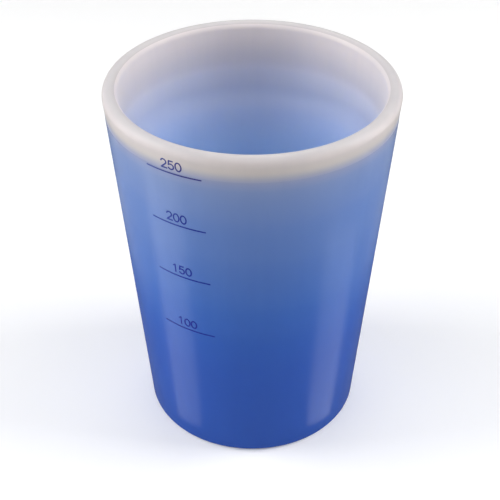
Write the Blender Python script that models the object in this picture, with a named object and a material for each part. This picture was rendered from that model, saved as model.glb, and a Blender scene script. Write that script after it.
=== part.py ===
"""A tapered 250 mL plastic measuring beaker: a moulded cup, a rounded rim ring and a printed scale.

The cup stands on Z = 0 with its axis along Z. The scale is printed on the outside, to the left of
the front, which is -Y. Outlines are (radius, height) pairs in millimetres, and objects are in metres.
"""

import math

import bmesh
import bpy
from mathutils import Vector
from mathutils.geometry import delaunay_2d_cdt

MM = 0.001
SEGMENTS = 72
ARC_STEPS = 4
GAP = 0.3  # between pieces that touch on the real beaker

# Cup: the outer face is one cone from the heel to the rim
FOOT_RADIUS = 28.25  # of the outer cone, carried down to the standing plane
TAPER = 0.0801  # growth of the radius with height
WALL = 1.77
FLOOR_TOP = 1.6
FLOOR_FILLET = 3.0
HEEL_RADIUS = 1.0
RECESS_RADIUS = 24.5  # the hollow under the floor, which leaves a ring to stand on
RECESS_DEPTH = 0.5
RECESS_SLOPE = 0.8

# Rim: a thick ring whose groove sits on a tongue along the top of the wall
RIM_TOP = 95.5
RIM_BOTTOM = 89.5
RIM_WIDTH = 3.6
RIM_SKIN = 0.8  # rim plastic outside the groove
RIM_LIP = 0.5  # flat under the ring, inside the groove
RIM_INNER_FOOT = 91.4  # where the ring's inner face starts to slope back to the wall
TONGUE_TOP = 92.1

# Printed scale
VOLUMES = (250, 200, 150, 100)  # mL
SCALE_TURN = math.radians(29.65)  # from the front, towards -X
LINE_LENGTH = 14.4
LINE_STEPS = 12
INK_WIDTH = 0.33
INK_THICKNESS = 0.1
INK_LIFT = 0.1  # clear of the wall's facets
FIGURE_BASE = 1.06  # from a line up to the middle of a figure's lowest stroke
FIGURE_HEIGHT = 2.23  # between the middles of its lowest and highest strokes
FIGURE_HALF = 0.71  # half its width, again to the middle of the stroke
FIGURE_PITCH = 1.85
FIGURES_SHIFT = -0.15  # of the number's middle from the line's middle
BOWL_STEPS = 10
PLACES = ("hundreds", "tens", "units")

CUP_BLUE = (0.10, 0.22, 0.56, 1)
RIM_WHITE = (0.74, 0.69, 0.68, 1)
INK_INDIGO = (0.035, 0.03, 0.27, 1)


def clear_scene():
    for item in list(bpy.data.objects):
        bpy.data.objects.remove(item)


def plastic(name, colour, roughness):
    material = bpy.data.materials.new(name)
    material.use_nodes = True
    shader = material.node_tree.nodes["Principled BSDF"]
    shader.inputs["Base Color"].default_value = colour
    shader.inputs["Roughness"].default_value = roughness
    shader.inputs["Metallic"].default_value = 0
    return material


def add_object(name, mesh, material):
    """Puts a bmesh into the scene as one smooth-shaded object."""
    bmesh.ops.recalc_face_normals(mesh, faces=mesh.faces)
    data = bpy.data.meshes.new(name)
    mesh.to_mesh(data)
    mesh.free()
    data.materials.append(material)
    data.shade_smooth()
    data.set_sharp_from_angle(angle=math.radians(35))
    bpy.context.scene.collection.objects.link(bpy.data.objects.new(name, data))


def outer_radius(height):
    return FOOT_RADIUS + TAPER * height


def inner_radius(height):
    return outer_radius(height) - WALL


def arc(centre, radius, start, end, steps=ARC_STEPS):
    """Points round a circle, from one angle to another in degrees."""
    points = []
    for i in range(steps + 1):
        angle = math.radians(start + (end - start) * i / steps)
        points.append((centre[0] + radius * math.cos(angle), centre[1] + radius * math.sin(angle)))
    return points


def turned(name, outline, material, ring=False):
    """Turns an outline about Z. It ends on the axis at both ends, or closes on itself as a ring."""
    mesh = bmesh.new()
    points = [mesh.verts.new((r * MM, 0, z * MM)) for r, z in outline]
    nexts = points[1:] + points[:1] if ring else points[1:]
    edges = [mesh.edges.new(pair) for pair in zip(points, nexts)]
    bmesh.ops.spin(
        mesh, geom=points + edges, cent=(0, 0, 0), axis=(0, 0, 1), angle=math.tau, steps=SEGMENTS
    )
    bmesh.ops.remove_doubles(mesh, verts=mesh.verts, dist=0.001 * MM)
    add_object(name, mesh, material)


def cup_outline():
    """From the middle of the underside, up the outside, over the tongue and down to the floor."""
    shoulder = RIM_BOTTOM - GAP
    tongue_inset = RIM_SKIN + GAP
    heel_turn = math.degrees(math.atan(TAPER))
    heel_middle = outer_radius(HEEL_RADIUS) - HEEL_RADIUS
    fillet_middle = inner_radius(FLOOR_TOP + FLOOR_FILLET) - FLOOR_FILLET
    return [
        (0, RECESS_DEPTH),
        (RECESS_RADIUS - RECESS_SLOPE, RECESS_DEPTH),
        (RECESS_RADIUS, 0),
        *arc((heel_middle, HEEL_RADIUS), HEEL_RADIUS, -90, -heel_turn),
        (outer_radius(shoulder), shoulder),
        (outer_radius(shoulder) - tongue_inset, shoulder),
        (outer_radius(TONGUE_TOP) - tongue_inset, TONGUE_TOP),
        (inner_radius(TONGUE_TOP), TONGUE_TOP),
        *arc((fillet_middle, FLOOR_TOP + FLOOR_FILLET), FLOOR_FILLET, -heel_turn, -90),
        (0, FLOOR_TOP),
    ]


def rim_outline():
    """A rounded top over a flush outer face, with a groove underneath for the cup's tongue."""
    crown = RIM_WIDTH / 2
    crown_height = RIM_TOP - crown
    crown_middle = outer_radius(crown_height) - crown
    groove_top = TONGUE_TOP + GAP
    inner_face = crown_middle - crown
    return [
        (outer_radius(RIM_BOTTOM), RIM_BOTTOM),
        *arc((crown_middle, crown_height), crown, 0, 180, 3 * ARC_STEPS),
        (inner_face, RIM_INNER_FOOT),
        (inner_radius(RIM_BOTTOM) - GAP - RIM_LIP, RIM_BOTTOM),
        (inner_radius(RIM_BOTTOM) - GAP, RIM_BOTTOM),
        (inner_radius(groove_top) - GAP, groove_top),
        (outer_radius(groove_top) - RIM_SKIN, groove_top),
        (outer_radius(RIM_BOTTOM) - RIM_SKIN, RIM_BOTTOM),
    ]


def fill_height(volume):
    """Height of the liquid for a volume in mL, from the cone inside the cup."""
    floor_radius = inner_radius(FLOOR_TOP)
    surface_radius = (floor_radius**3 + 3 * TAPER * 1000 * volume / math.pi) ** (1 / 3)
    return (surface_radius - inner_radius(0)) / TAPER


def print_on_cup(name, mesh, height, material):
    """Thickens a flat mesh of millimetres and wraps it round the cup, its origin at the given height."""
    new = bmesh.ops.extrude_face_region(mesh, geom=mesh.faces[:])["geom"]
    for corner in new:
        if isinstance(corner, bmesh.types.BMVert):
            corner.co.z = INK_THICKNESS
    for corner in mesh.verts:
        along, up, out = corner.co
        angle = 1.5 * math.pi - SCALE_TURN + along / outer_radius(height)
        radius = outer_radius(height + up) + INK_LIFT + out
        corner.co = (radius * math.cos(angle), radius * math.sin(angle), height + up)
        corner.co *= MM
    add_object(name, mesh, material)


def stroke(path, closed=False):
    """Quads of the ink's width along a path, mitred where it turns."""
    points = [Vector(point) for point in path]
    sides = []
    for i, point in enumerate(points):
        before = points[i - 1] if closed or i else point
        after = points[(i + 1) % len(points)] if closed or i + 1 < len(points) else point
        inward = (point - before).normalized()
        outward = (after - point).normalized()
        along = (inward + outward).normalized()
        half = INK_WIDTH / 2 / along.dot(outward if outward.length else inward)
        across = Vector((-along.y, along.x)) * half
        sides.append((point - across, point + across))
    ends = sides[1:] + sides[:1] if closed else sides[1:]
    return [(a[0], b[0], b[1], a[1]) for a, b in zip(sides, ends)]


def figure_zero():
    path = arc((0, 0), 1, 0, 360, 2 * BOWL_STEPS)[:-1]
    middle = FIGURE_HEIGHT / 2
    return stroke([(FIGURE_HALF * x, middle + middle * y) for x, y in path], closed=True)


def figure_one():
    flag = stroke([(-0.38, FIGURE_HEIGHT - 0.36), (0.08, FIGURE_HEIGHT + 0.06)])
    return flag + stroke([(0.08, FIGURE_HEIGHT + INK_WIDTH / 2), (0.08, -INK_WIDTH / 2)])


def figure_two():
    head = arc((-0.03, FIGURE_HEIGHT - 0.66), 0.66, 165, -38, BOWL_STEPS)
    foot = (-FIGURE_HALF, 0)
    return stroke([*head, foot]) + stroke([(-FIGURE_HALF - 0.12, 0), (FIGURE_HALF + 0.05, 0)])


def figure_five():
    flag = stroke([(0.56, FIGURE_HEIGHT), (-0.42, FIGURE_HEIGHT), (-0.58, 1.02)])
    return flag + stroke(arc((-0.04, 0.7), 0.7, 143, -150, BOWL_STEPS))


FIGURES = {"0": figure_zero, "1": figure_one, "2": figure_two, "5": figure_five}


def flat_figure(quads, shift):
    """One flat mesh out of overlapping quads."""
    corners = [Vector((x + shift, y + FIGURE_BASE)) for quad in quads for x, y in quad]
    faces = [(i, i + 1, i + 2, i + 3) for i in range(0, len(corners), 4)]
    merged = delaunay_2d_cdt(corners, [], faces, 1, 1e-4)
    points, triangles, sources = merged[0], merged[2], merged[5]
    mesh = bmesh.new()
    made = [mesh.verts.new((x, y, 0)) for x, y in points]
    for triangle, source in zip(triangles, sources):
        if source:
            mesh.faces.new([made[i] for i in triangle])
    return mesh


def add_line(volume, material):
    mesh = bmesh.new()
    bmesh.ops.create_grid(mesh, x_segments=LINE_STEPS, y_segments=1, size=0.5)
    bmesh.ops.scale(mesh, vec=(LINE_LENGTH, INK_WIDTH, 1), verts=mesh.verts)
    print_on_cup(f"line_{volume}", mesh, fill_height(volume), material)


def add_number(volume, material):
    for i, (digit, place) in enumerate(zip(str(volume), PLACES)):
        mesh = flat_figure(FIGURES[digit](), FIGURES_SHIFT + (i - 1) * FIGURE_PITCH)
        print_on_cup(f"number_{volume}_{place}", mesh, fill_height(volume), material)


def build():
    clear_scene()
    turned("cup_body", cup_outline(), plastic("cup_plastic", CUP_BLUE, 0.35))
    turned("rim_ring", rim_outline(), plastic("rim_plastic", RIM_WHITE, 0.4), ring=True)
    ink = plastic("scale_ink", INK_INDIGO, 0.5)
    for volume in VOLUMES:
        add_line(volume, ink)
        add_number(volume, ink)


build()
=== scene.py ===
"""The finished look of the measuring beaker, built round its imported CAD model.

The cup and its rim are turned again with fine profiles, and the printed scale is drawn again with
round-ended strokes. All of them get procedural milky plastic and ink. Outlines are in millimetres.
"""

import math

import bmesh
import bpy
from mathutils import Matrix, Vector
from mathutils.geometry import delaunay_2d_cdt


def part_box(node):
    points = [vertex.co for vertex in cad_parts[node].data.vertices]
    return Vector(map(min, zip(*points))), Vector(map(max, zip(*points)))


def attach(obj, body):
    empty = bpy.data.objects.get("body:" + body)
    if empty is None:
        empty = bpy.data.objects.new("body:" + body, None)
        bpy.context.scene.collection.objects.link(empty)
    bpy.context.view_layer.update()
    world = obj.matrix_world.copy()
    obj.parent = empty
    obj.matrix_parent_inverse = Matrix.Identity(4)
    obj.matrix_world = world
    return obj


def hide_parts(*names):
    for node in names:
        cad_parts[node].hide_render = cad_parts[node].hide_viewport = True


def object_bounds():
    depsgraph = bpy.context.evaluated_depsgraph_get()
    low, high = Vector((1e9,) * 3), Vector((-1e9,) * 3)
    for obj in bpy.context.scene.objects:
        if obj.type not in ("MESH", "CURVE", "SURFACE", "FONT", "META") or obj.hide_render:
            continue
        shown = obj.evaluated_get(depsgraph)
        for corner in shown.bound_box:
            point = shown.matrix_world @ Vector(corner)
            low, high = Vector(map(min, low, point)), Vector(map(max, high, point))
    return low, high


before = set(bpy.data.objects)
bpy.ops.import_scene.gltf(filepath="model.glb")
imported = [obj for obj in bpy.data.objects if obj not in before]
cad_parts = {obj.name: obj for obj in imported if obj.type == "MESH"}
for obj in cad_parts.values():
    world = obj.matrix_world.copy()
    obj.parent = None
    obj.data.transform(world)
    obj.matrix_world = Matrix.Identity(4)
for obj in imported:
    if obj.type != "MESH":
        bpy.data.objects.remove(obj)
cad_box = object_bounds()

MM = 0.001
SEGMENTS = 256
VOLUMES = (250, 200, 150, 100)
PLACES = ("hundreds", "tens", "units")

# From the CAD model, in millimetres
rim_low, rim_high = (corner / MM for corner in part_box("rim_ring"))
cup_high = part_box("cup_body")[1] / MM
RIM_TOP = rim_high.z
RIM_BOTTOM = rim_low.z
TONGUE_TOP = cup_high.z
CROWN_RADIUS = 1.8
TAPER = 0.0801
FOOT_RADIUS = rim_high.x - TAPER * (RIM_TOP - CROWN_RADIUS)
WALL = 1.77
FLOOR_TOP = 1.6
FLOOR_FILLET = 3.0
HEEL_RADIUS = 1.0
RECESS_RADIUS = 24.5
RECESS_DEPTH = 0.5
RIM_SKIN = 0.8

# Finer shapes than the CAD model has, in millimetres too
FLANK_LOW = 70.0  # where the inside starts to swell towards the rim
NECK_DEPTH = 0.07  # of the faint neck round the outside, under the bead
NECK_HEIGHT = 90.6
NECK_WIDTH = 1.1
GATE_RADIUS = 0.75  # of the flat end of the moulding's gate mark, in the middle of the underside
GATE_BEAD = 0.22  # how far it stands out
PAD_RADIUS = 2.6  # of the flat pad round the gate mark
PAD_STEP = 0.35  # width of the slope from the pad to the rest of the underside
PAD_ROUND = 0.25
SEAM = 0.02  # between the rim and the tongue that it holds


def outer_cone(height):
    return FOOT_RADIUS + TAPER * height


def outer_face(height):
    """Radius of the outside: the cone, with a faint neck under the bead."""
    return outer_cone(height) - NECK_DEPTH * math.exp(-(((height - NECK_HEIGHT) / NECK_WIDTH) ** 2))


def inner_face(height):
    return outer_cone(height) - WALL


def inner_flank(height):
    """Radius of the inside, which swells smoothly towards the crown of the rim."""
    rise = min(max((height - FLANK_LOW) / (RIM_TOP - CROWN_RADIUS - FLANK_LOW), 0), 1)
    return inner_face(height) - (2 * CROWN_RADIUS - WALL) * rise**2 * (3 - 2 * rise)


def arc(centre, radius, start, end, steps):
    """Points round a circle, from one angle to another in degrees."""
    points = []
    for i in range(steps + 1):
        angle = math.radians(start + (end - start) * i / steps)
        points.append((centre[0] + radius * math.cos(angle), centre[1] + radius * math.sin(angle)))
    return points


def rising(face, low, high, steps):
    """Points up a face that is given as a radius for each height."""
    heights = [low + (high - low) * i / steps for i in range(steps + 1)]
    return [(face(height), height) for height in heights]


def new_piece(name, mesh, material, nodes):
    """Makes a piece of the object from a bmesh in millimetres."""
    bmesh.ops.scale(mesh, vec=(MM, MM, MM), verts=mesh.verts)
    bmesh.ops.recalc_face_normals(mesh, faces=mesh.faces)
    data = bpy.data.meshes.new(name)
    mesh.to_mesh(data)
    mesh.free()
    data.materials.append(material)
    data.shade_smooth()
    data.set_sharp_from_angle(angle=math.radians(40))
    piece = bpy.data.objects.new(name, data)
    bpy.context.scene.collection.objects.link(piece)
    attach(piece, "root")
    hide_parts(*nodes)
    return piece


# ---------------------------------------------------------------- cup and rim


def turned(outline, ring=False):
    """Turns an outline about Z. It ends on the axis at both ends, or closes on itself as a ring."""
    mesh = bmesh.new()
    points = [mesh.verts.new((r, 0, z)) for r, z in outline]
    nexts = points[1:] + points[:1] if ring else points[1:]
    edges = [mesh.edges.new(pair) for pair in zip(points, nexts)]
    bmesh.ops.spin(
        mesh, geom=points + edges, cent=(0, 0, 0), axis=(0, 0, 1), angle=math.tau, steps=SEGMENTS
    )
    bmesh.ops.remove_doubles(mesh, verts=mesh.verts, dist=0.001)
    return mesh


def cup_outline():
    """From the moulding's gate under the floor, up the outside, over the tongue and down to the floor."""
    heel_turn = math.degrees(math.atan(TAPER))
    heel_middle = outer_cone(HEEL_RADIUS) - HEEL_RADIUS
    fillet_height = FLOOR_TOP + FLOOR_FILLET
    fillet_middle = inner_face(fillet_height) - FLOOR_FILLET
    tongue = outer_cone(TONGUE_TOP) - RIM_SKIN - SEAM
    return [
        (0, RECESS_DEPTH - GATE_BEAD),
        *arc((GATE_RADIUS, RECESS_DEPTH), GATE_BEAD, -90, 0, 4),
        *arc((PAD_RADIUS, RECESS_DEPTH + PAD_ROUND), PAD_ROUND, -90, -45, 2),
        *arc((PAD_RADIUS + PAD_STEP, RECESS_DEPTH - 0.1), PAD_ROUND, 135, 90, 2),
        *arc((RECESS_RADIUS - 0.9, RECESS_DEPTH - 0.4), 0.55, 90, 30, 5),
        *arc((RECESS_RADIUS + 0.15, 0.3), 0.3, 200, 270, 4),
        *arc((heel_middle, HEEL_RADIUS), HEEL_RADIUS, -90, -heel_turn, 10),
        *rising(outer_face, 3, 85, 24),
        *rising(outer_face, 85.4, RIM_BOTTOM, 12),
        (tongue, RIM_BOTTOM),
        (tongue, TONGUE_TOP),
        (inner_face(TONGUE_TOP), TONGUE_TOP),
        (inner_face(RIM_BOTTOM), RIM_BOTTOM),
        *rising(inner_flank, RIM_BOTTOM, FLANK_LOW, 16),
        *rising(inner_flank, FLANK_LOW - 4, fillet_height + 1, 20),
        *arc((fillet_middle, fillet_height), FLOOR_FILLET, -heel_turn, -90, 12),
        (12, FLOOR_TOP),
        (0, FLOOR_TOP),
    ]


def rim_outline():
    """A rounded crown, a nearly flush outer face, and an inner flank that runs down onto the wall."""
    crown_height = RIM_TOP - CROWN_RADIUS
    crown_middle = outer_cone(crown_height) - CROWN_RADIUS
    groove_top = TONGUE_TOP + SEAM
    tongue = outer_cone(TONGUE_TOP) - RIM_SKIN
    return [
        *rising(outer_face, RIM_BOTTOM, crown_height - 0.2, 14),
        *arc((crown_middle, crown_height), CROWN_RADIUS, 0, 176, 28),
        *rising(inner_flank, crown_height - 0.2, RIM_BOTTOM, 14),
        (inner_face(RIM_BOTTOM) - SEAM, RIM_BOTTOM),
        (inner_face(groove_top) - SEAM, groove_top),
        (tongue, groove_top),
        (tongue, RIM_BOTTOM),
    ]


def line_inside(piece, material):
    """Gives the faces that line the beaker a material of their own: a lighter copy of the plastic, painted
    lighter to stand in for the light that reaches the inside.
    """
    piece.data.materials.append(material)
    for face in piece.data.polygons:
        middle = face.center / MM
        inward = -(face.normal.x * middle.x + face.normal.y * middle.y) / max(middle.xy.length, 1)
        inside = middle.xy.length < inner_flank(middle.z) + 0.5
        if inside and middle.z > FLOOR_TOP - 0.1 and (inward > 0.5 or middle.z < FLOOR_TOP + FLOOR_FILLET):
            face.material_index = 1


# ---------------------------------------------------------------- printed scale

LINE_LENGTH = 14.4
SCALE_TURN = math.radians(29.65)  # from the front, towards -X
INK_WIDTH = 0.355
INK_OUT = 0.03  # how far the ink stands out of the plastic
INK_SUNK = 0.03
FIGURE_BASE = 1.06
FIGURE_HEIGHT = 2.23
FIGURE_HALF = 0.71
FIGURE_PITCH = 1.85
FIGURES_SHIFT = -0.15
BOWL_STEPS = 28
SLICE = 0.3  # ink is cut this finely, so that it follows the face under it


def stroke(path, closed=False):
    """Quads of the ink's width along a path, mitred where it turns."""
    points = [Vector(point) for point in path]
    sides = []
    for i, point in enumerate(points):
        before = points[i - 1] if closed or i else point
        after = points[(i + 1) % len(points)] if closed or i + 1 < len(points) else point
        inward = (point - before).normalized()
        outward = (after - point).normalized()
        along = (inward + outward).normalized()
        half = INK_WIDTH / 2 / along.dot(outward if outward.length else inward)
        across = Vector((-along.y, along.x)) * half
        sides.append((point - across, point + across))
    ends = sides[1:] + sides[:1] if closed else sides[1:]
    return [(a[0], b[0], b[1], a[1]) for a, b in zip(sides, ends)]


def dot(centre):
    """A round end or corner for strokes."""
    return arc(centre, INK_WIDTH / 2, 0, 360, 16)[:-1]


def drawn(*points):
    """A straight-edged stroke with round ends and corners."""
    shapes = [dot(point) for point in points]
    for pair in zip(points, points[1:]):
        shapes += stroke(pair)
    return shapes


def bent(path):
    """A curved stroke with round ends."""
    return stroke(path) + [dot(path[0]), dot(path[-1])]


def figure_zero():
    path = arc((0, 0), 1, 0, 360, 2 * BOWL_STEPS)[:-1]
    middle = FIGURE_HEIGHT / 2
    return stroke([(FIGURE_HALF * x, middle + middle * y) for x, y in path], closed=True)


def figure_one():
    return drawn((-0.38, FIGURE_HEIGHT - 0.36), (0.08, FIGURE_HEIGHT), (0.08, 0))


def figure_two():
    head = arc((-0.03, FIGURE_HEIGHT - 0.66), 0.66, 165, -38, BOWL_STEPS)
    return bent(head) + drawn(head[-1], (-FIGURE_HALF, 0), (FIGURE_HALF, 0))


def figure_five():
    bowl = arc((-0.04, 0.7), 0.7, 143, -150, BOWL_STEPS)
    return drawn((0.52, FIGURE_HEIGHT), (-0.42, FIGURE_HEIGHT), bowl[0]) + bent(bowl)


FIGURES = {"0": figure_zero, "1": figure_one, "2": figure_two, "5": figure_five}


def flat_ink(shapes, shift=(0, 0)):
    """One flat mesh out of overlapping outlines."""
    corners = []
    faces = []
    for shape in shapes:
        faces.append(tuple(range(len(corners), len(corners) + len(shape))))
        corners += [Vector(point) + Vector(shift) for point in shape]
    merged = delaunay_2d_cdt(corners, [], faces, 1, 1e-4)
    points, triangles, sources = merged[0], merged[2], merged[5]
    mesh = bmesh.new()
    made = [mesh.verts.new((x, y, 0)) for x, y in points]
    for triangle, source in zip(triangles, sources):
        if source:
            mesh.faces.new([made[i] for i in triangle])
    bmesh.ops.dissolve_degenerate(mesh, dist=0.004, edges=mesh.edges)
    return mesh


def sliced(mesh, axis, low, high):
    """Cuts a flat mesh across one axis every SLICE."""
    normal = Vector((axis == 0, axis == 1, 0))
    steps = math.ceil((high - low) / SLICE)
    for i in range(1, steps):
        at = normal * (low + (high - low) * i / steps)
        geometry = mesh.verts[:] + mesh.edges[:] + mesh.faces[:]
        bmesh.ops.bisect_plane(mesh, geom=geometry, dist=0.003, plane_co=at, plane_no=normal)


def printed(mesh, height):
    """Thickens flat ink and wraps it onto the outside, with its origin at the given height."""
    new = bmesh.ops.extrude_face_region(mesh, geom=mesh.faces[:])["geom"]
    for corner in new:
        if isinstance(corner, bmesh.types.BMVert):
            corner.co.z = INK_SUNK + INK_OUT
    for corner in mesh.verts:
        along, up, out = corner.co
        angle = 1.5 * math.pi - SCALE_TURN + along / outer_cone(height)
        radius = outer_face(height + up) - INK_SUNK + out
        corner.co = (radius * math.cos(angle), radius * math.sin(angle), height + up)
    return mesh


def add_line(volume, height, material):
    ends = LINE_LENGTH / 2 - INK_WIDTH / 2
    mesh = flat_ink(drawn((-ends, 0), (ends, 0)))
    sliced(mesh, 0, -LINE_LENGTH / 2, LINE_LENGTH / 2)
    new_piece(f"ink_line_{volume}", printed(mesh, height), material, [f"line_{volume}"])


def add_number(volume, height, material):
    for i, (digit, place) in enumerate(zip(str(volume), PLACES)):
        shift = (FIGURES_SHIFT + (i - 1) * FIGURE_PITCH, FIGURE_BASE)
        mesh = flat_ink(FIGURES[digit](), shift)
        sliced(mesh, 1, FIGURE_BASE - INK_WIDTH, FIGURE_BASE + FIGURE_HEIGHT + INK_WIDTH)
        name = f"number_{volume}_{place}"
        new_piece(f"ink_{name}", printed(mesh, height), material, [name])


# ---------------------------------------------------------------- materials


class Nodes:
    """Short calls for building one material's node tree."""

    def __init__(self, name):
        self.material = bpy.data.materials.new(name)
        self.material.use_nodes = True
        self.tree = self.material.node_tree
        self.shader = self.tree.nodes["Principled BSDF"]

    def add(self, kind, **settings):
        node = self.tree.nodes.new(kind)
        for key, value in settings.items():
            setattr(node, key, value)
        return node

    def join(self, source, target):
        self.tree.links.new(source, target)

    def place(self):
        """The point on the object, in metres."""
        return self.add("ShaderNodeTexCoord").outputs["Object"]

    def noise(self, stretch, scale, detail=4.0, roughness=0.55):
        """Noise over the object, with its point stretched first."""
        spread = self.add("ShaderNodeMapping")
        spread.inputs["Scale"].default_value = stretch
        self.join(self.place(), spread.inputs["Vector"])
        texture = self.add("ShaderNodeTexNoise")
        texture.inputs["Scale"].default_value = scale
        texture.inputs["Detail"].default_value = detail
        texture.inputs["Roughness"].default_value = roughness
        self.join(spread.outputs["Vector"], texture.inputs["Vector"])
        return texture.outputs["Fac"]

    def spread(self, value, low, high, from_low=0.0, from_high=1.0):
        """A value moved from one range to another."""
        node = self.add("ShaderNodeMapRange")
        node.inputs["From Min"].default_value = from_low
        node.inputs["From Max"].default_value = from_high
        node.inputs["To Min"].default_value = low
        node.inputs["To Max"].default_value = high
        self.join(value, node.inputs["Value"])
        return node.outputs["Result"]

    def lesser(self, first, second):
        """The smaller of two values."""
        node = self.add("ShaderNodeMath", operation="MINIMUM")
        self.join(first, node.inputs[0])
        self.join(second, node.inputs[1])
        return node.outputs["Value"]

    def measured(self, axis):
        """The place along one axis of the object, in metres."""
        split = self.add("ShaderNodeSeparateXYZ")
        self.join(self.place(), split.inputs["Vector"])
        return split.outputs[axis]

    def ramp(self, value, stops):
        """A colour ramp with (place, colour) stops, smooth between them."""
        node = self.add("ShaderNodeValToRGB")
        ramp = node.color_ramp
        ramp.interpolation = "CARDINAL"
        for i, (place, colour) in enumerate(stops):
            stop = ramp.elements[i] if i < 2 else ramp.elements.new(place)
            stop.position = place
            stop.color = (*colour, 1)
        self.join(value, node.inputs["Fac"])
        return node.outputs["Color"]

    def tinted(self, colour, factor, shade, blend="MULTIPLY"):
        """A colour multiplied by a shade, or mixed with it, where the factor is 1."""
        node = self.add("ShaderNodeMix", data_type="RGBA", blend_type=blend)
        self.join(factor, node.inputs[0])
        self.join(colour, node.inputs[6])
        node.inputs[7].default_value = (*shade, 1)
        return node.outputs[2]

    def bump(self, value, distance, before=None):
        """A bump of a depth in metres, on top of another one."""
        node = self.add("ShaderNodeBump")
        node.inputs["Strength"].default_value = 1
        node.inputs["Distance"].default_value = distance
        self.join(value, node.inputs["Height"])
        if before is not None:
            self.join(before, node.inputs["Normal"])
        return node.outputs["Normal"]


# Colour by height in millimetres: deep blue at the foot, off-white in the rim. Partly the plastic's tint
# and partly painted light: the rim's outer face is painted greyer towards its lower edge, as painted shade
# where the bead turns down, and its crown is painted darker where the top lights fall strongest.
OUTSIDE = (
    (0.0, (0.025, 0.085, 0.39)),
    (30.0, (0.026, 0.091, 0.41)),
    (42.0, (0.033, 0.109, 0.43)),
    (52.0, (0.05, 0.136, 0.45)),
    (66.0, (0.088, 0.175, 0.46)),
    (78.0, (0.126, 0.21, 0.47)),
    (87.0, (0.19, 0.26, 0.47)),
    (89.6, (0.29, 0.32, 0.46)),
    (91.5, (0.49, 0.46, 0.46)),
    (93.5, (0.57, 0.52, 0.51)),
    (94.8, (0.65, 0.60, 0.60)),
    (96.0, (0.63, 0.61, 0.62)),
)
# Inside colour by height: a lighter copy of the outside's, painted lighter to stand in for light that
# reaches the inside through the open top and the wall, and painted lighter again just under the rim, where
# the inner flank faces down into shade.
INSIDE = (
    (0.0, (0.15, 0.35, 0.80)),
    (20.0, (0.16, 0.35, 0.78)),
    (55.0, (0.23, 0.39, 0.73)),
    (70.0, (0.35, 0.43, 0.66)),
    (77.0, (0.48, 0.52, 0.65)),
    (82.0, (0.69, 0.70, 0.78)),
    (85.0, (0.73, 0.71, 0.76)),
    (88.0, (0.77, 0.73, 0.76)),
    (92.0, (0.82, 0.76, 0.76)),
)
RAMP_TOP = 100.0  # millimetres at the ramp's end
SHALLOW = 0.0001  # metres that light soaks into the rim and the floor
RIM_FADE = (0.074, 0.089)  # heights in metres between which the depth lessens towards the rim
FLOOR_FADE = (0.003, 0.020)  # and between which it grows from the floor up
SATIN = 0.035  # how far the roughness strays from its middle


def milky_plastic(name, palette, roughness, gloss, depth, share):
    """Polypropylene coloured by height, partly its own tint and partly painted light, with faint flow
    marks and satin grain.

    A share of the light soaks in, to a depth in metres that lessens towards the rim and the floor.
    """
    nodes = Nodes(name)
    stops = [(height / RAMP_TOP, colour) for height, colour in palette]
    by_height = nodes.spread(nodes.measured("Z"), 0, 1, 0, RAMP_TOP * MM)
    colour = nodes.ramp(by_height, stops)
    clouds = nodes.spread(nodes.noise((1, 1, 0.45), 55), 0, 0.5, 0.35, 0.75)
    colour = nodes.tinted(colour, clouds, (0.90, 0.93, 0.96))
    flow = nodes.spread(nodes.noise((1, 1, 0.06), 420, 3), 0, 0.35, 0.4, 0.8)
    colour = nodes.tinted(colour, flow, (0.93, 0.94, 0.97))
    nodes.join(colour, nodes.shader.inputs["Base Color"])
    satin = nodes.noise((1, 1, 1), 160, 5)
    nodes.join(nodes.spread(satin, roughness - SATIN, roughness + SATIN), nodes.shader.inputs["Roughness"])
    grain = nodes.bump(nodes.noise((1, 1, 1), 2600, 2), 0.000004)
    drawn_lines = nodes.bump(nodes.noise((1, 1, 0.03), 700, 2), 0.000006, grain)
    nodes.join(drawn_lines, nodes.shader.inputs["Normal"])
    inputs = nodes.shader.inputs
    inputs["Subsurface Weight"].default_value = share
    inputs["Subsurface Radius"].default_value = (1.0, 1.0, 1.1)
    below_rim = nodes.spread(nodes.measured("Z"), depth, SHALLOW, *RIM_FADE)
    above_floor = nodes.spread(nodes.measured("Z"), SHALLOW, depth, *FLOOR_FADE)
    nodes.join(nodes.lesser(below_rim, above_floor), inputs["Subsurface Scale"])
    inputs["Specular IOR Level"].default_value = gloss
    inputs["IOR"].default_value = 1.49
    return nodes.material


def indigo_ink():
    """Screen-printed ink, slightly thin in places, and painted paler towards the left end of the lines as
    a painted highlight where the gloss streak crosses them.
    """
    nodes = Nodes("printed_indigo_ink")
    by_height = nodes.spread(nodes.measured("Z"), 0, 1, 0.035, 0.095)
    stops = [(0, (0.002, 0.01, 0.24)), (0.7, (0.005, 0.016, 0.235)), (1, (0.045, 0.04, 0.17))]
    colour = nodes.ramp(by_height, stops)
    thin = nodes.spread(nodes.noise((1, 1, 1), 900, 5, 0.7), 0, 0.3, 0.45, 0.8)
    colour = nodes.tinted(colour, thin, (0.05, 0.09, 0.36), "MIX")
    # Painted highlight: the ink is mixed paler towards the left end of the lines, where the gloss streak
    # runs over the print.
    left_end_painted_highlight = nodes.spread(nodes.measured("X"), 0.4, 0, -0.0235, -0.0155)
    colour = nodes.tinted(colour, left_end_painted_highlight, (0.07, 0.14, 0.42), "MIX")
    nodes.join(colour, nodes.shader.inputs["Base Color"])
    grain = nodes.noise((1, 1, 1), 1800, 4)
    nodes.join(nodes.spread(grain, 0.4, 0.6), nodes.shader.inputs["Roughness"])
    nodes.join(nodes.bump(grain, 0.000005), nodes.shader.inputs["Normal"])
    nodes.shader.inputs["Specular IOR Level"].default_value = 0.12
    return nodes.material


# ---------------------------------------------------------------- stage, light and camera

FLOOR_RADIUS = 4  # metres
FLOOR_DROP = 0.0001  # from the beaker's foot down to the floor
DOME_RADIUS = 0.45
CARD_HEIGHT = 0.0005


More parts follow.
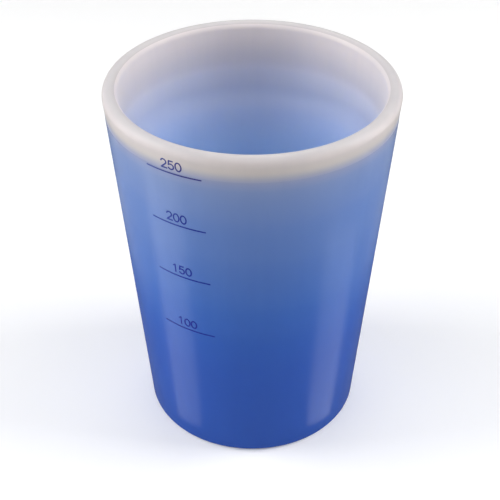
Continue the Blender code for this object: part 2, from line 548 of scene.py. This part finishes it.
def staged(name, mesh, material):
    """Makes a piece of the studio from a bmesh in metres."""
    data = bpy.data.meshes.new(name)
    mesh.to_mesh(data)
    mesh.free()
    data.materials.append(material)
    piece = bpy.data.objects.new(name, data)
    bpy.context.scene.collection.objects.link(piece)
    return piece


def pale_floor():
    nodes = Nodes("pale_floor")
    cloud = nodes.noise((1, 1, 1), 3, 2)
    colour = nodes.ramp(cloud, [(0.3, (0.90, 0.90, 0.905)), (0.7, (0.93, 0.93, 0.93))])
    nodes.join(colour, nodes.shader.inputs["Base Color"])
    nodes.shader.inputs["Roughness"].default_value = 0.8
    nodes.shader.inputs["Specular IOR Level"].default_value = 0.1
    nodes.shader.inputs["Emission Color"].default_value = (1, 1, 1, 1)
    nodes.shader.inputs["Emission Strength"].default_value = 0.11
    mesh = bmesh.new()
    bmesh.ops.create_circle(mesh, cap_ends=True, segments=64, radius=FLOOR_RADIUS)
    floor = staged("floor", mesh, nodes.material)
    floor.location.z = cad_box[0].z - FLOOR_DROP
    floor.visible_glossy = False


def glowing(name):
    """Nodes of a material that only glows, and the socket for how brightly."""
    nodes = Nodes(name)
    glow = nodes.add("ShaderNodeEmission")
    nodes.join(glow.outputs["Emission"], nodes.tree.nodes["Material Output"].inputs["Surface"])
    return nodes, glow.inputs["Strength"]


def pale_backdrop():
    """A pale dome that only the camera sees, behind the beaker from low angles."""
    nodes, strength = glowing("pale_backdrop")
    cloud = nodes.noise((1, 1, 1), 3, 2)
    nodes.join(nodes.spread(cloud, 0.93, 0.97), strength)
    mesh = bmesh.new()
    bmesh.ops.create_uvsphere(mesh, u_segments=64, v_segments=32, radius=DOME_RADIUS)
    dome = staged("backdrop", mesh, nodes.material)
    dome.visible_diffuse = False
    dome.visible_glossy = False
    dome.visible_transmission = False
    dome.visible_shadow = False


def softbox(name, place, target, width, height, radiance):
    """An area light aimed at a point, given by how bright its face looks."""
    light = bpy.data.lights.new(name, "AREA")
    light.shape = "RECTANGLE"
    light.size = width
    light.size_y = height
    light.energy = radiance * math.pi * width * height
    lamp = bpy.data.objects.new(name, light)
    lamp.location = place
    lamp.rotation_euler = (Vector(target) - Vector(place)).to_track_quat("-Z", "Y").to_euler()
    lamp.visible_camera = False
    bpy.context.scene.collection.objects.link(lamp)


def gloss_card(name, corners, near, far):
    """A card of light on the floor, seen only in the beaker's gloss. Corners are in millimetres.

    Its radiance changes from near, at its corner closest to the middle, to far, at its farthest one.
    """
    nodes, strength = glowing(name)
    sideways = sorted((x * MM for x, y in corners), key=abs)
    nodes.join(nodes.spread(nodes.measured("X"), near, far, sideways[0], sideways[-1]), strength)
    mesh = bmesh.new()
    mesh.faces.new([mesh.verts.new((x * MM, y * MM, CARD_HEIGHT)) for x, y in corners])
    card = staged(name, mesh, nodes.material)
    card.visible_camera = False
    card.visible_diffuse = False
    card.visible_transmission = False
    card.visible_shadow = False


def light_stage():
    world = bpy.data.worlds.new("studio")
    world.use_nodes = True
    background = world.node_tree.nodes["Background"]
    background.inputs["Color"].default_value = (1, 1, 1, 1)
    background.inputs["Strength"].default_value = 0.16
    bpy.context.scene.world = world
    middle = (0, 0, 0.05)
    softbox("top_front", (0, -0.45, 0.6), middle, 0.5, 0.4, 0.7)
    softbox("top_back", (0, 0.45, 0.6), middle, 0.5, 0.4, 1.45)
    softbox("left", (-0.5, 0, 0.24), middle, 0.28, 0.56, 3.4)
    softbox("right", (0.5, 0, 0.24), middle, 0.28, 0.56, 3.1)
    softbox("left_front", (-0.4, -0.3, 0.2), middle, 0.28, 0.4, 1.75)
    softbox("right_front", (0.4, -0.3, 0.2), middle, 0.28, 0.4, 1.0)
    softbox("left_high", (-0.45, 0, 0.5), middle, 0.3, 0.3, 3.6)
    softbox("right_high", (0.45, 0, 0.5), middle, 0.3, 0.3, 4.5)
    gloss_card("left_card", [(-17, -27), (-107, -76), (-136, -7), (-24, -20)], 0.85, 1.9)
    gloss_card("right_card", [(18, -26), (94, -58), (106, 4), (24.5, -18.5)], 1.12, 0.9)
    gloss_card("left_edge", [(-66, -4), (-132, -4), (-128, 110), (-66, 85)], 0.42, 0.36)
    gloss_card("right_edge", [(66, -2), (132, -2), (128, 110), (66, 85)], 0.36, 0.28)


def add_camera():
    """The camera, which looks down on the front from above the rim."""
    data = bpy.data.cameras.new("camera")
    data.sensor_width = 36
    data.lens = 78.39
    data.shift_x = -0.0045
    data.shift_y = -0.075
    data.clip_start = 0.01
    camera = bpy.data.objects.new("camera", data)
    place = Vector((0, -0.2307, 0.2171))
    target = Vector((0, 0, 0.0574))
    camera.location = place
    camera.rotation_euler = (target - place).to_track_quat("-Z", "Y").to_euler()
    bpy.context.scene.collection.objects.link(camera)
    bpy.context.scene.camera = camera


def main():
    bpy.context.scene.view_settings.view_transform = "Standard"
    add_camera()
    light_stage()
    pale_floor()
    pale_backdrop()
    cup_plastic = milky_plastic("milky_cup_plastic", OUTSIDE, 0.235, 0.3, 0.001, 0.3)
    # The inside materials are lighter copies of the plastic: painted light for what reaches the inside
    # through the open top and the wall.
    cup_inside_painted_lighter = milky_plastic("milky_cup_lining", INSIDE, 0.42, 0.5, 0.008, 1)
    rim_plastic = milky_plastic("milky_rim_plastic", OUTSIDE, 0.34, 0.3, SHALLOW, 0.3)
    rim_inside_painted_lighter = milky_plastic("milky_rim_lining", INSIDE, 0.34, 0.3, SHALLOW, 1)
    cup = new_piece("cup", turned(cup_outline()), cup_plastic, ["cup_body"])
    line_inside(cup, cup_inside_painted_lighter)
    rim = new_piece("rim", turned(rim_outline(), ring=True), rim_plastic, ["rim_ring"])
    line_inside(rim, rim_inside_painted_lighter)
    ink = indigo_ink()
    for volume in VOLUMES:
        low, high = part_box(f"line_{volume}")
        height = (low.z + high.z) / 2 / MM
        add_line(volume, height, ink)
        add_number(volume, height, ink)


main()
